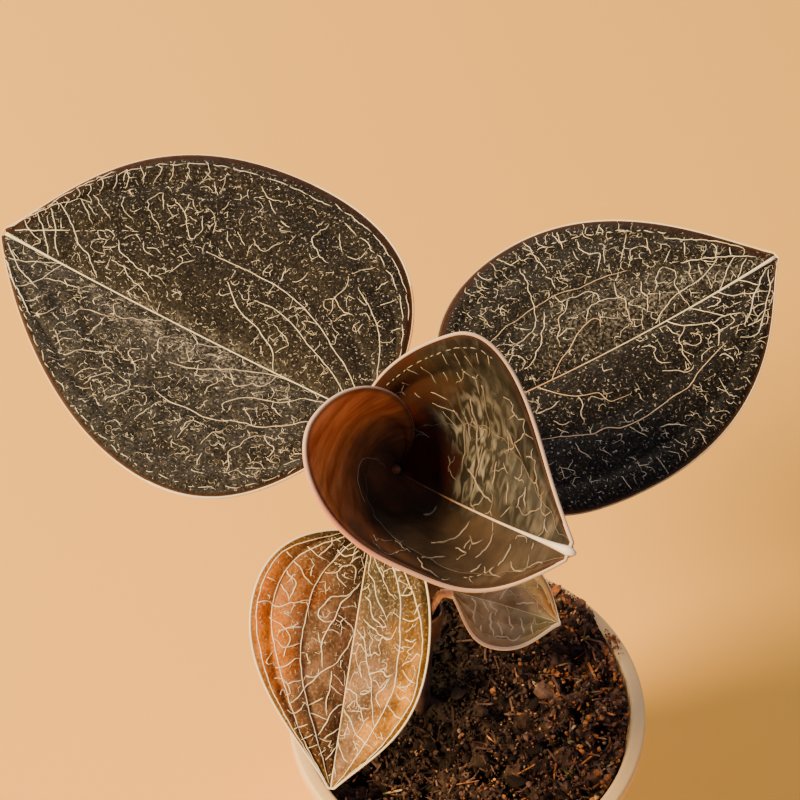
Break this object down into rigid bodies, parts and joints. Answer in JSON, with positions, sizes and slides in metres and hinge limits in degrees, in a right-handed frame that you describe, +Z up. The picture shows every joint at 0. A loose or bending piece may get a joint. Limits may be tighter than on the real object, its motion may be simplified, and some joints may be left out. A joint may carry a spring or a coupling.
{
  "type": "jewel orchid",
  "caption": "Young jewel orchid with dark, gold-netted ovate leaves and a rolled new leaf on a slim stem, growing in bark mix in a small round plastic nursery pot.",
  "frame": {"origin": "centre of the pot's flat underside", "axes": "+Z up out of the pot, +X to the right and +Y to the back as seen from the side the rolled leaf opens towards"},
  "size_m": [0.1245, 0.0939, 0.1367],
  "materials": {
    "pot_plastic": "smooth satin",
    "bark_mix": "rough crumbly",
    "stem_flesh": "satin",
    "dark_leaf": "velvety satin with pale veins",
    "coppery_leaf": "velvety satin with pale veins",
    "olive_leaf": "velvety satin with pale veins",
    "young_leaf": "silky satin",
    "bud_flesh": "satin"
  },
  "bodies": {
    "root": {"pot": "pot_plastic", "potting_mix": "bark_mix", "stem": "stem_flesh", "leaf_large_left": "dark_leaf", "leaf_large_right": "dark_leaf", "leaf_coppery_front": "coppery_leaf", "leaf_small_back": "olive_leaf", "leaf_rolled_top": "young_leaf", "bud": "bud_flesh"}
  },
  "joints": []
}
